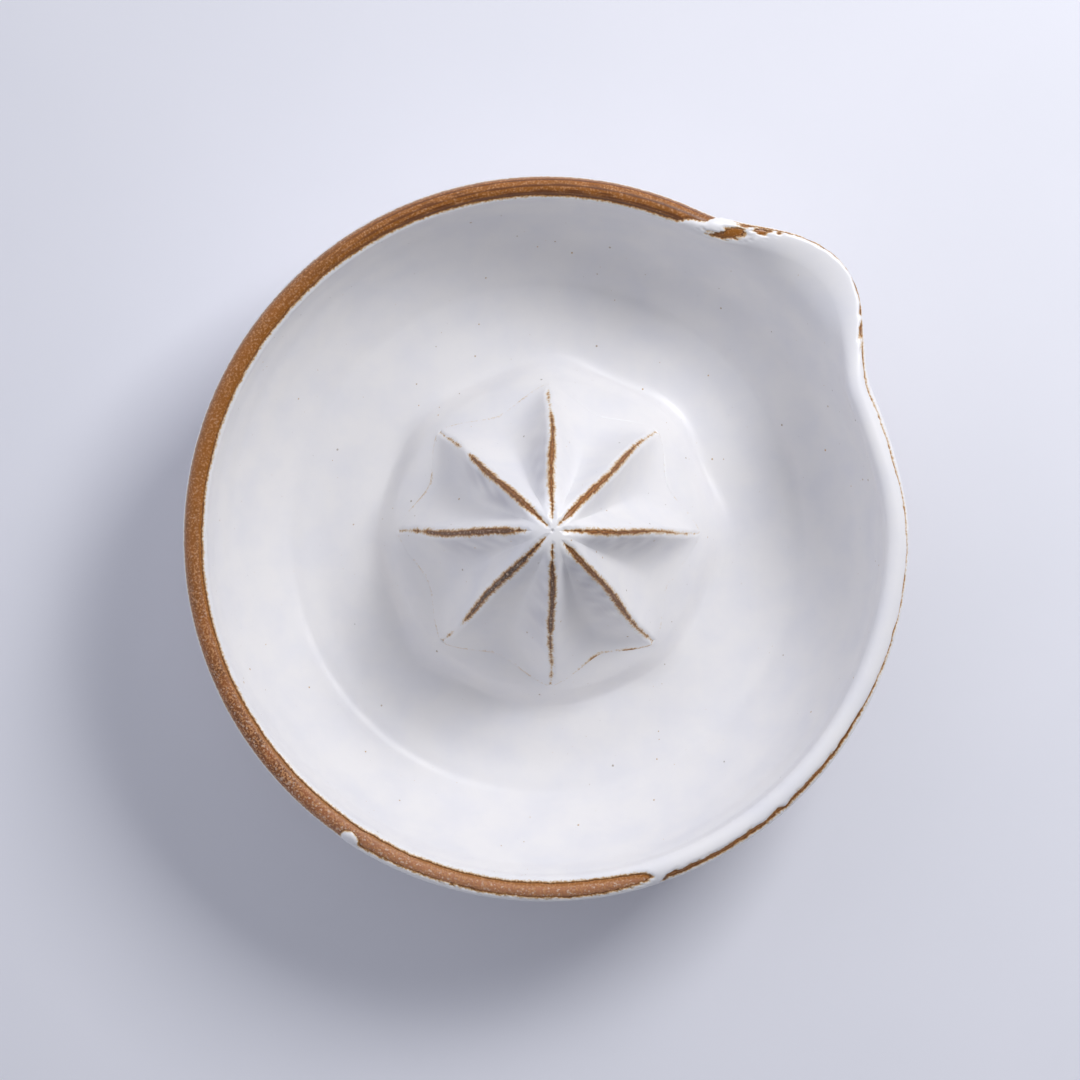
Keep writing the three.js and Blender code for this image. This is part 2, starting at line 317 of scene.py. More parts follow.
@dataclass(frozen=True)
class Stoneware:
    """Iron-bearing stoneware fired bare: a dry, sandy brown with mica that glints.

    The eye sees a fine grain of dark and light grit, and a golden, smoother edge where glaze vapour
    settled on the clay beside a coat. On the reamer's ribs the gold is painted light on the side that
    faces the lamp, and the ribs are greyer, darker still with painted shade on the side turned away.
    """

    body: str = "#985626"
    shade: str = "#6A3B18"
    grit: str = "#C88F5E"
    mica: str = "#E6CBB4"
    # Gold beside a coat on the rim; on the reamer's ribs it is painted light on the side facing the lamp.
    fumed: str = "#9C6018"
    pale: str = "#C0845E"
    # Grey rib colour and its grit, darker as painted shade on the ribs turned away from the light.
    grey_and_shade_tone: str = "#4A3A30"
    grey_and_shade_grit: str = "#8C735E"
    grit_size: float = 0.45
    cloud_size: float = 5.0
    mica_size: float = 0.36
    mica_share: float = 0.2

    def material(self) -> Material:
        """Build the finish; it reads vertex values, where there are any, for gold (partly painted light),
        streaks, grey (partly painted shade) and pale clay.
        """
        made, tree = empty_material("bare_iron_stoneware")
        place = add_node(tree, "ShaderNodeTexCoord").outputs["Object"]
        # The gold value is partly painted light and the grey value partly painted shade, both on the reamer's
        # ribs.
        gold_and_painted_light, streak, grey_and_painted_shade, pale = (
            add_node(tree, "ShaderNodeAttribute", attribute_name=name).outputs["Fac"]
            for name in ("gold_and_painted_light", "streak", "grey_and_painted_shade", "pale")
        )
        cloud, grit = (
            add_node(
                tree, "ShaderNodeTexNoise", {"Vector": place, "Scale": per_metre(size), "Detail": detail}
            ).outputs["Fac"]
            for size, detail in ((self.cloud_size, 3.0), (self.grit_size, 4.0))
        )
        mica = add_node(tree, "ShaderNodeTexVoronoi", {"Vector": place, "Scale": per_metre(self.mica_size)})
        glint = add_node(tree, "ShaderNodeSeparateColor", {"Color": mica.outputs["Color"]}).outputs["Red"]
        cloudy, gritty, picked = (
            add_node(
                tree,
                "ShaderNodeMapRange",
                {"Value": value, "From Min": low, "From Max": high, "To Max": most},
            ).outputs["Result"]
            for value, low, high, most in (
                (cloud, 0.35, 0.65, 1.0),
                (grit, 0.48, 0.62, 1.0),
                (glint, 1 - self.mica_share, 1.0, 0.7),
            )
        )
        rough = add_node(tree, "ShaderNodeMath", {0: 1.0, 1: gold_and_painted_light}, operation="SUBTRACT", use_clamp=True)
        shown, relief = (
            add_node(tree, "ShaderNodeMath", {0: value, 1: rough}, operation="MULTIPLY")
            for value in (picked, grit)
        )
        between = add_node(tree, "ShaderNodeMapRange", {"Value": gritty, "To Min": 1.1, "To Max": 0.5})
        gilt = add_node(
            tree,
            "ShaderNodeMath",
            {0: gold_and_painted_light, 1: between},
            operation="MULTIPLY",
            use_clamp=True,
        )
        grey_and_shade_grit = add_node(
            tree, "ShaderNodeMix", {0: grey_and_painted_shade, 6: linear(self.grit), 7: linear(self.grey_and_shade_grit)}, data_type="RGBA"
        )
        colour = linear(self.shade)
        for share, tone in (
            (cloudy, linear(self.body)),
            (pale, linear(self.pale)),
            (grey_and_painted_shade, linear(self.grey_and_shade_tone)),
            (gritty, grey_and_shade_grit.outputs[2]),
            (shown, linear(self.mica)),
            (gilt, linear(self.fumed)),
            (streak, linear(self.shade)),
        ):
            layer = add_node(tree, "ShaderNodeMix", {0: share, 6: colour, 7: tone}, data_type="RGBA")
            colour = layer.outputs[2]
        smooth = add_node(tree, "ShaderNodeMath", {0: gold_and_painted_light, 1: streak}, operation="MAXIMUM")
        roughness = add_node(
            tree, "ShaderNodeMapRange", {"Value": smooth, "To Min": 0.6, "To Max": 0.28}
        )
        bump = add_node(
            tree,
            "ShaderNodeBump",
            {"Height": relief, "Strength": 0.6, "Distance": 0.25 * MM},
        )
        close_material(
            tree,
            {
                "Base Color": colour,
                "Roughness": roughness,
                "Normal": bump,
                "IOR": 1.5,
            },
        )
        return made


@dataclass(frozen=True)
class WhiteGlaze:
    """Satin white stoneware glaze, poured and fired: soft gloss over a faintly mottled milky coat.

    Where the coat is thin the iron of the clay comes through it, first cream, then gold, then brown.
    On the reamer's flanks turned away from the light, a grey painted shade is mixed in.
    """

    milk: str = "#EFEDEC"
    cloud: str = "#E9E8EA"
    # Grey painted shade for the reamer's flanks that face away from the light.
    painted_flank_shade: str = "#A3A1AC"
    cream: str = "#DCC8AC"
    gold: str = "#AE7D43"
    iron: str = "#6E4424"
    cloud_size: float = 9.0
    painted_flank_shade_share: float = 0.55
    break_size: float = 0.5
    peel_size: float = 1.6

    def material(self) -> Material:
        """Build the finish; it reads the vertex values coat, 1 where full, and the flank shade, 1 where grey
        painted shade lies.
        """
        made, tree = empty_material("satin_white_glaze")
        place = add_node(tree, "ShaderNodeTexCoord").outputs["Object"]
        coat, painted_flank_shade = (
            add_node(tree, "ShaderNodeAttribute", attribute_name=name).outputs["Fac"]
            for name in ("coat", "painted_flank_shade")
        )
        cloud, flecks, peel = (
            add_node(
                tree, "ShaderNodeTexNoise", {"Vector": place, "Scale": per_metre(size), "Detail": detail}
            ).outputs["Fac"]
            for size, detail in ((self.cloud_size, 4.0), (self.break_size, 3.0), (self.peel_size, 2.0))
        )
        ragged, mottle, satin = (
            add_node(
                tree,
                "ShaderNodeMapRange",
                {"Value": value, "From Min": low, "From Max": high, "To Min": least, "To Max": most},
            ).outputs["Result"]
            for value, low, high, least, most in (
                (flecks, 0.3, 0.7, -0.16, 0.16),
                (cloud, 0.38, 0.66, 0.0, 1.0),
                (cloud, 0.3, 0.7, 0.32, 0.42),
            )
        )
        seen = add_node(tree, "ShaderNodeMath", {0: coat, 1: ragged}, operation="ADD")
        # Painted shade: grey mixed in on the reamer's flanks turned away from the light.
        painted_flank_shading = add_node(tree, "ShaderNodeMath", {0: painted_flank_shade, 1: self.painted_flank_shade_share}, operation="MULTIPLY")
        thin = (
            add_node(
                tree,
                "ShaderNodeMapRange",
                {"Value": seen, "From Min": low, "From Max": high, "To Min": 1.0, "To Max": 0.0},
            ).outputs["Result"]
            for low, high in ((0.5, 0.72), (0.34, 0.52), (0.12, 0.34))
        )
        colour = linear(self.milk)
        for share, tone in zip(
            (mottle, painted_flank_shading, *thin),
            (self.cloud, self.painted_flank_shade, self.cream, self.gold, self.iron),
        ):
            layer = add_node(tree, "ShaderNodeMix", {0: share, 6: colour, 7: linear(tone)}, data_type="RGBA")
            colour = layer.outputs[2]
        bump = add_node(tree, "ShaderNodeBump", {"Height": peel, "Strength": 0.12, "Distance": 0.12 * MM})
        close_material(
            tree,
            {"Base Color": colour, "Roughness": satin, "Normal": bump, "IOR": 1.52},
        )
        return made


@dataclass(frozen=True)
class IronSpeck:
    """Specks of iron that melted up through the glaze: pale ochre or grey dots under its gloss."""

    ochre: str = "#D0AE7C"
    grey: str = "#B4B0AC"

    def material(self) -> Material:
        """Build the finish; it reads the vertex value tint, from 0 for ochre to 1 for grey."""
        made, tree = empty_material("iron_speck_in_glaze")
        tint = add_node(tree, "ShaderNodeAttribute", attribute_name="tint")
        tones = {0: tint.outputs["Fac"], 6: linear(self.ochre), 7: linear(self.grey)}
        colour = add_node(tree, "ShaderNodeMix", tones, data_type="RGBA")
        close_material(tree, {"Base Color": colour.outputs[2], "Roughness": 0.35, "IOR": 1.52})
        return made


@dataclass(frozen=True)
class StudioFloor:
    """Matt painted board under the juicer: pale, cool and almost even."""

    paint: str = "#EDEDF3"
    worn: str = "#E6E7ED"
    patch_size: float = 60.0

    def material(self) -> Material:
        """Build the finish."""
        made, tree = empty_material("matt_painted_board")
        place = add_node(tree, "ShaderNodeTexCoord").outputs["Object"]
        patch = add_node(tree, "ShaderNodeTexNoise", {"Vector": place, "Scale": per_metre(self.patch_size)})
        tones = {0: patch.outputs["Fac"], 6: linear(self.paint), 7: linear(self.worn)}
        colour = add_node(tree, "ShaderNodeMix", tones, data_type="RGBA")
        close_material(tree, {"Base Color": colour.outputs[2], "Roughness": 0.75})
        return made


@dataclass(frozen=True)
class Finishes:
    """The built materials of the juicer."""

    clay: Material
    glaze: Material
    speck: Material


def dress(piece: Object, slot: Slot, *nodes: str) -> None:
    """Set a piece on its body and hide the CAD nodes that it stands for.

    Args:
        piece: Finished piece.
        slot: Material slot of the record that its finish comes from; not used.
        nodes: CAD nodes that it stands for.
    """
    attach(piece, BODY)
    if nodes:
        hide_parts(*nodes)
    LOG.info("%s: %d faces", piece.name, len(piece.data.polygons))


def new_tree(
    name: str, output: str, inputs: dict[str, str]
) -> tuple[NodeTree, Node]:
    """Make a geometry node tree with named inputs and one output.

    Args:
        name: Name of the tree.
        output: Name of its output.
        inputs: Kind of socket for each input, by the input's name.

    Returns:
        The tree and the node that gives its inputs.
    """
    tree = bpy.data.node_groups.new(name, "GeometryNodeTree")
    for key, kind in inputs.items():
        tree.interface.new_socket(key, in_out="INPUT", socket_type=f"NodeSocket{kind}")
    tree.interface.new_socket(output, in_out="OUTPUT", socket_type="NodeSocketGeometry")
    return tree, add_node(tree, "NodeGroupInput")


def close_tree(tree: NodeTree, shape: Node, finish: NodeSocket) -> None:
    """End a geometry node tree by giving its shape a finish."""
    finished = add_node(tree, "GeometryNodeSetMaterial", {"Geometry": shape, "Material": finish})
    add_node(tree, "NodeGroupOutput", {0: finished})


def grown_from_tree(piece: Object, tree: NodeTree, inputs: dict[str, object]) -> None:
    """Run a geometry node tree on a piece and keep its result as the piece's plain mesh.

    Args:
        piece: Piece whose mesh goes into the tree.
        tree: Node tree to run.
        inputs: Value of each of the tree's inputs, by the input's name.
    """
    modifier = piece.modifiers.new(tree.name, "NODES")
    modifier.node_group = tree
    for item in tree.interface.items_tree:
        if item.in_out == "INPUT" and item.name in inputs:
            modifier[item.identifier] = inputs[item.name]
    graph = bpy.context.evaluated_depsgraph_get()
    grown = bpy.data.meshes.new_from_object(piece.evaluated_get(graph))
    piece.modifiers.remove(modifier)
    grown.name = piece.name
    piece.data = grown


@dataclass(frozen=True)
class Reamer:
    """Hollow fluted cone, set by hand a little off the bowl's axis and leaning toward the lip.

    Attributes:
        sways: How the ribs stray, as waves: size, turns round the axis, twist per millimetre and phase.
        coil_side: How much straighter than round the luting coil's brow runs from rib to rib.
        light_angle: Degrees round the bowl from which the light falls; crests facing it get painted light
        in gold, and crests and flanks turned away get painted shade.
    """

    ribs: int = 8
    radius: float = 35.0
    height: float = 48.0
    floor_top: float = 11.0
    bulge: float = 1.15
    tip_round: float = 10.0
    scoop: float = 0.357
    scoop_top: float = 12.6
    run_out: float = 1.35
    hollow_radius: float = 22.0
    tip_clay: float = 11.0
    crest_round: float = 0.45
    off_centre: tuple[float, float] = (0.5, 0.5)
    lean: tuple[float, float] = (0.85, 0.95)
    sways: tuple[tuple[float, int, float, float], ...] = (
        (0.011, 3, 0.0, 1.1), (0.009, 5, 0.09, 0.0), (0.012, 2, 0.21, 0.0),
    )
    coil_inner: float = 22.0
    coil_radius: float = 39.5
    coil_height: float = 11.4
    coil_brow: float = 36.3
    coil_brow_height: float = 4.0
    coil_turn: float = 28.0
    coil_side: float = 0.065
    fillet: float = 3.4
    rows: int = 104
    foot_rows: int = 10
    hollow_rows: int = 16
    crest_columns: int = 9
    flute_columns: int = 16
    crest_band: float = 0.16
    light_angle: float = 50.0

    def across(self) -> Array:
        """Columns of one flute from -1 at one rib to just short of 1 at the next, close by the ribs."""
        half = np.concatenate(
            [
                np.linspace(0, self.crest_band, self.crest_columns, endpoint=False),
                np.linspace(self.crest_band, 1, self.flute_columns // 2 + 1)[:-1],
            ]
        )
        return np.concatenate([half - 1, [0], 1 - half[:0:-1]])

    def apron(self, radius: Array, across: Array) -> Array:
        """Height of the luting coil and the floor; its brow runs straighter than a circle."""
        side = 1 - self.coil_side * (1 + np.cos(math.pi * across)) / 2
        fallen = (radius / (self.coil_brow * side)) ** self.coil_turn
        top = np.interp(radius, (self.coil_inner, self.coil_brow), (self.coil_height, self.coil_brow_height))
        return self.floor_top + top / (1 + fallen)

    def fallen(self, share: Array) -> Array:
        """How far a crest has fallen, from 0 at the tip to 1 at the floor, at a share of its way out."""
        blunt = self.tip_round / self.radius
        run = (np.hypot(share, blunt) - blunt) / (math.hypot(1, blunt) - blunt)
        return run**self.bulge

    def flute(self, share: Array, across: Array) -> tuple[Array, Array]:
        """Radius and height on the fluted face.

        Args:
            share: Way down the crest, from 0 at the tip to 1 at the floor.
            across: Place between two ribs, from -1 to 1.

        Returns:
            Radii and heights.
        """
        crest = self.radius * share
        half = np.maximum(crest * math.pi / self.ribs, 1e-6)
        gap = (1 - np.abs(across)) * half
        soft = np.minimum(self.crest_round, 0.3 * half)
        eased = np.sqrt(gap**2 + soft**2) - soft
        inward = 1 - np.clip(1 - eased / half, 0, 1) ** 2
        depth = self.scoop * ramp(crest, 0, self.scoop_top) * np.maximum(1 - self.run_out * share**5, 0)
        return crest * (1 - depth * inward), self.floor_top + self.height * (1 - self.fallen(share))

    def hem(self, across: Array) -> Array:
        """Way down the crest at which the fluted face meets the apron.

        Args:
            across: Place between two ribs, from -1 to 1.

        Returns:
            Shares from 0 at the tip to 1 at the floor.
        """
        low, high = np.full_like(across, 0.5), np.ones_like(across)
        for _ in range(HALVINGS):
            middle = (low + high) / 2
            radius, height = self.flute(middle, across)
            above = height > self.apron(radius, across)
            low, high = np.where(above, middle, low), np.where(above, high, middle)
        return low

    def filleted(self, radius: Array, height: Array, across: Array) -> Array:
        """Height of fluted face and apron together, with the corner between them wiped round."""
        apron = self.apron(radius, across)
        near = np.maximum(self.fillet - np.abs(height - apron), 0)
        return np.maximum(height, apron) + near**2 / (4 * self.fillet)

    def flute_height(self, radius: Array, across: Array) -> Array:
        """Height of the fluted face at a distance from the axis.

        Args:
            radius: Distances from the axis.
            across: Place between two ribs, from -1 to 1.

        Returns:
            Heights over the table, under the floor's where the face has ended.
        """
        low, high = np.full(radius.shape, 0.3), np.full(radius.shape, 2.0)
        for _ in range(HALVINGS):
            middle = (low + high) / 2
            inside = self.flute(middle, across)[0] < radius
            low, high = np.where(inside, middle, low), np.where(inside, high, middle)
        return self.flute(low, across)[1]

    def settle(self, points: Array) -> Array:
        """Move points as the hand that set the reamer did: off centre, leaning, its ribs not quite even.

        Args:
            points: Points in millimetres.

        Returns:
            The moved points.
        """
        radius = np.hypot(points[..., 0], points[..., 1])
        angle = np.arctan2(points[..., 1], points[..., 0])
        height = points[..., 2]
        near = 1 - ramp(radius, self.coil_radius - 3, self.coil_radius + 8)
        rise = np.clip((height - self.floor_top) / self.height, 0, 1)
        sway = sum(
            size * np.sin(turns * angle + twist * height + phase)
            for size, turns, twist, phase in self.sways
        )
        sway = sway * near * ramp(radius, 0.5, 6)
        moved = np.array(points, dtype=float)
        moved[..., 0] = radius * np.cos(angle + sway) + near * (self.off_centre[0] + rise * self.lean[0])
        moved[..., 1] = radius * np.sin(angle + sway) + near * (self.off_centre[1] + rise * self.lean[1])
        return moved

    def face(self, across: Array) -> tuple[Array, Array]:
        """Outer face of the clay cone, from the tip over the hem to the floor.

        Args:
            across: Each column's place between two ribs, from -1 to 1.

        Returns:
            Radii and heights by row and column; the hem is the row numbered like the count of rows.
        """
        down = np.linspace(0, 1, self.rows + 1)[:, None] * self.hem(across)[None, :]
        foot = np.linspace(0, 1, self.foot_rows + 1)[1:, None]
        down = np.vstack([down, down[-1:] + (1 - down[-1:]) * foot])
        radius, height = self.flute(down, across[None, :])
        lift = self.filleted(radius, height, across[None, :]) - height
        lift[self.rows + 1 :] = lift[self.rows] * (1 - foot) ** 2
        return radius, height + lift

    def columns(self) -> tuple[Array, Array, Array]:
        """Columns all the way round.

        Returns:
            Each column's place between two ribs, its flute's number, and its angle in radians.
        """
        one = self.across()
        across = np.tile(one, self.ribs)
        flute = np.repeat(np.arange(self.ribs), len(one))
        return across, flute, (flute + (across + 1) / 2) * TAU / self.ribs

    def sector(self) -> tuple[Array, Array]:
        """One flute's wedge of clay: its face from tip to floor, its base and its hollow back.

        Returns:
            Points and faces, with the wedge's last column ready to meet the next wedge's first.
        """
        across = np.append(self.across(), 1.0)
        radius, height = self.face(across)
        back = np.linspace(1, 0, self.hollow_rows)[:, None] * np.ones_like(across)[None, :]
        radius = np.vstack([radius, self.hollow_radius * back])
        hollow = (self.height - self.tip_clay) * (1 - self.fallen(back))
        height = np.vstack([height, self.floor_top + hollow])
        angle = (across + 1) / 2 * TAU / self.ribs
        points = round_axis(radius, angle, height)
        return points.reshape(-1, 3), Skin(points).quads()[:, :-1].reshape(-1, 4)

    def patterned(self, material: Material) -> NodeTree:
        """Build the tree that turns one wedge round the axis once for every rib.

        Args:
            material: Finish of the clay; not used.

        Returns:
            The node tree, with the inputs Wedge, Ribs, Weld and Finish.
        """
        tree, source = new_tree(
            "flutes_round_the_axis",
            "Cone",
            {"Wedge": "Geometry", "Ribs": "Int", "Weld": "Float", "Finish": "Material"},
        )
        given = source.outputs
        places = add_node(tree, "GeometryNodePoints", {"Count": given["Ribs"]})
        index = add_node(tree, "GeometryNodeInputIndex").outputs[0]
        pitch = add_node(tree, "ShaderNodeMath", {0: TAU, 1: given["Ribs"]}, operation="DIVIDE").outputs[0]
        turn = add_node(tree, "ShaderNodeMath", {0: index, 1: pitch}, operation="MULTIPLY")
        spin = add_node(tree, "ShaderNodeCombineXYZ", {"Z": turn})
        wedges = add_node(
            tree,
            "GeometryNodeInstanceOnPoints",
            {"Points": places, "Instance": given["Wedge"], "Rotation": spin},
        )
        solid = add_node(tree, "GeometryNodeRealizeInstances", {"Geometry": wedges}).outputs[0]
        welded = add_node(tree, "GeometryNodeMergeByDistance", {"Geometry": solid, "Distance": given["Weld"]})
        close_tree(tree, welded, given["Finish"])
        return tree

    def build(self, finishes: Finishes) -> None:
        """Build and dress the clay cone."""
        points, faces = self.sector()
        wedge = new_piece("reamer_clay", points, faces, finishes.clay)
        tree = self.patterned(finishes.clay)
        grown_from_tree(wedge, tree, {"Ribs": self.ribs, "Weld": 0.004 * MM, "Finish": finishes.clay})
        mesh = wedge.data
        moved = self.settle(vertices_of(mesh) / MM) * MM
        mesh.vertices.foreach_set("co", moved.astype(np.float32).ravel())
        # Painted light and shade: ribs facing the light are painted gold, ribs turned away are painted a
        # darker grey.
        turn = np.arctan2(moved[:, 1], moved[:, 0]) - math.radians(self.light_angle)
        set_values(mesh, {"grey_and_painted_shade": 0.62 - 0.38 * np.cos(turn), "gold_and_painted_light": 0.38 + 0.34 * np.cos(turn)})
        mesh.shade_smooth()
        mesh.update()
        dress(wedge, Slot.BARE_CLAY, "reamer_cone")


@dataclass(frozen=True)
class LutingCoil:
    """Coil of clay worked into the corner between reamer and floor; it lies under the liner."""

    reamer: Reamer
    rows: int = 26

    def build(self, finishes: Finishes) -> None:
        """Build and dress the coil, from its slope back along the floor and up the cone's foot."""
        reamer = self.reamer
        across, _, angle = reamer.columns()
        cone = [rows[reamer.rows :][::-1] for rows in reamer.face(across)]
        share = np.linspace(0, 1, self.rows + 1)[1:, None]
        slope = cone[0][-1:] + (reamer.coil_radius - cone[0][-1:]) * share
        lying = reamer.filleted(slope, reamer.flute_height(slope, across[None, :]), across[None, :])
        edge = np.full_like(cone[0][:1], reamer.coil_radius)
        radius = np.vstack([slope, edge, cone[0]])
        height = np.vstack([lying, 0 * edge + reamer.floor_top, cone[1]])
        points = round_axis(radius, angle, height)
        skin = Skin(reamer.settle(points), closed_rows=True)
        dress(ring_piece("luting_clay", skin, finishes.clay), Slot.BARE_CLAY, "luting_coil")


@dataclass(frozen=True)
class GlazeLayer:
    """How a coat of glaze lies on the clay, and how it ends in a rounded edge.

    Attributes:
        full: Height of a full coat.
        taper: Width of its rounded edge.
        sunk: How far under the clay's skin it ends.
        sink_run: Depth inside bare clay at which it has sunk that far.
        ended: Share of that sinking past which a face no longer carries it.
        bed: Depth under the clay's skin at which its back lies.
        flush: Share of a full coat in the row where one coat laps another.
    """

    full: float = 0.6
    taper: float = 0.9
    sunk: float = 0.12
    sink_run: float = 0.25
    ended: float = 0.6
    bed: float = 0.2
    flush: float = 0.9

    def height(self, depth: Array) -> Array:
        """Height over the clay by depth inside bare clay, negative where the coat lies."""
        share = np.clip(-depth / self.taper, 0, 1)
        bead = self.full * np.sqrt(1 - (1 - share) ** 2) * (0.55 + 0.45 * share)
        return np.where(depth > 0, -self.sunk * np.clip(depth / self.sink_run, 0, 1), bead)

    def covered(self, height: Array) -> Array:
        """Whether the coat covers each face of a grid, from its heights by row and column."""
        sunk = height < -self.ended * self.sunk
        corner = sunk[:-1] & sunk[1:]
        return ~(corner & np.roll(corner, -1, axis=1))


@dataclass(frozen=True)
class BareCrest:
    """Stretch of a rib's crest that the glaze ran off.

    Attributes:
        start: Distance from the axis at which it begins.
        end: Distance from the axis at which it ends.
        width: Its width at its widest.
        gap: Distance from the axis of a place where glaze still crosses it, or 0 for none.
    """

    start: float
    end: float
    width: float
    gap: float = 0.0


@dataclass(frozen=True)
class ReamerGlaze:
    """Coat on the reamer, open along the crests of the ribs.

    Attributes:
        below_hem: How far past the hem it laps, as a share of the way down a crest.
        fade: How much narrower a bare crest grows toward its ends.
        hem_slope: Length along the face for each millimetre out from the axis.
        hem_width: Width of the thin line along the hem.
        crests: The bare crests, rib by rib.
        hems: How thin the coat is along each flute's hem.
    """

    reamer: Reamer
    layer: GlazeLayer = GlazeLayer(taper=0.95)
    below_hem: float = 0.016
    fade: float = 0.32
    hem_slope: float = 1.55
    hem_width: float = 0.45
    crests: tuple[BareCrest, ...] = (
        BareCrest(2.4, 31.0, 0.3),
        BareCrest(1.8, 32.0, 0.48),
        BareCrest(2.6, 30.0, 0.38),
        BareCrest(1.5, 32.5, 0.52, 24.5),
        BareCrest(5.2, 32.5, 0.58),
        BareCrest(1.6, 33.5, 0.52, 27.0),
        BareCrest(2.6, 31.5, 0.42),
        BareCrest(3.6, 33.5, 0.46),
    )
    hems: tuple[float, ...] = (0.36, 0.2, 0.44, 0.44, 0.42, 0.47, 0.56, 0.25)

    def skin(self) -> tuple[Skin, Array, Array, Array]:
        """Grid on the whole fluted face, from tip to hem.

        Returns:
            The grid, each column's place between two ribs, its flute's number, and the way down.
        """
        reamer = self.reamer
        across, flute, angle = reamer.columns()
        hem = reamer.hem(across)
        down = np.linspace(0, 1, reamer.rows + 1)[:, None] * hem[None, :]
        down = np.vstack([down, hem + 0.35 * self.below_hem, hem + self.below_hem])
        radius, height = reamer.flute(down, across[None, :])
        height[:-1] = reamer.filleted(radius[:-1], height[:-1], across[None, :])
        points = round_axis(radius, angle, height)
        return Skin(reamer.settle(points)), across, flute, down

    def bare(self, skin: Skin, across: Array, flute: Array, down: Array) -> Array:
        """Depth inside the bare stretch of the nearest rib, negative where the coat covers the clay.

        Args:
            skin: Grid on the fluted face.
            across: Each column's place between two ribs.
            flute: Each column's flute.
            down: Way down the crest by row and column.

        Returns:
            Depths in millimetres by row and column.
        """
        reamer = self.reamer
        rib = (flute + (across > 0)) % reamer.ribs
        along = reamer.radius * down
        aside = (1 - np.abs(across))[None, :] * along * math.pi / reamer.ribs
        start, end, width, gap = (
            np.array([getattr(c, name) for c in self.crests])[rib][None, :]
            for name in ("start", "end", "width", "gap")
        )
        share = np.clip((along - start) / (end - start), 0, 1)
        half = width / 2 * ramp(share, -0.06, 0.25) * (1 - 0.85 * ramp(share, 0.3, 1))
        half = half - self.fade * (ramp(share, 0.55, 1) + 0.6 * (1 - ramp(share, 0, 0.1)))
        outside = np.maximum(start - along, along - end)
        half = half - 0.6 * np.maximum(outside, 0)
        half = half - np.where(gap > 0, 0.75 * np.exp(-(((along - gap) / 1.1) ** 2)), 0)
        ragged = 0.1 * Ripple(1.1, 11).at(skin.points) + 0.12 * Ripple(3.5, 12).at(skin.points)
        return half - aside + ragged

    def painted_flank_shade(self, skin: Skin, across: Array, flute: Array, down: Array) -> Array:
        """How much grey painted shade lies on the flanks turned away from the light.

        Args:
            skin: Grid on the fluted face.
            across: Each column's place between two ribs.
            flute: Each column's flute.
            down: Way down the crest by row and column.

        Returns:
            Shares from 0 to 1 by row and column.
        """
        reamer = self.reamer
        rib = (flute + (across > 0)) * 360 / reamer.ribs
        faces = np.radians(rib - 90 * np.sign(across) - reamer.light_angle)
        beside = ramp(np.abs(across), 0.1, 0.6) * (1 - ramp(np.abs(across), 0.84, 0.97))
        along = reamer.radius * down
        stretch = ramp(along, 5, 11) * (1 - ramp(along, 18, 29))
        mottle = np.clip(0.7 + 0.5 * Ripple(5.5, 51).at(skin.points), 0, 1)
        return np.maximum(-np.cos(faces), 0)[None, :] * beside[None, :] * stretch * mottle

    def build(self, finishes: Finishes) -> Object:
        """Build and dress the coat.

        Args:
            finishes: The juicer's materials.

        Returns:
            The coat as an object.
        """
        skin, across, flute, down = self.skin()
        height = self.layer.height(self.bare(skin, across, flute, down))
        height[-2] *= self.layer.flush
        hem = (down[-3:-2] - down) * self.hem_slope * self.reamer.radius
        strength = np.array(self.hems)[flute][None, :]
        line = strength * np.exp(-((hem / self.hem_width) ** 2))
        line = line * (0.88 + 0.3 * Ripple(5.0, 21).at(skin.points))
        coat = np.clip(height / self.layer.full - line, 0, 1)
        # The second tone is painted shade on the flanks turned away from the light.
        tones = {"coat": coat, "painted_flank_shade": self.painted_flank_shade(skin, across, flute, down)}
        kept = self.layer.covered(height)
        piece = coat_piece("reamer_glaze_coat", skin, height, kept, finishes.glaze, tones, self.layer.bed)
        dress(piece, Slot.WHITE_GLAZE, "reamer_glaze")
        return piece


@dataclass(frozen=True)
class WornSpot:
    """Spot on the rim where the coat flaked or, as a drip, ran over.

    Attributes:
        angle: Degrees round the bowl.
        over: Degrees over the rim, from 0 inside to 180 outside.
        length: Half its length along the rim.
        width: Half its width over the rim.
        ragged: How ragged its edge is.
    """

    angle: float
    over: float
    length: float
    width: float
    ragged: float


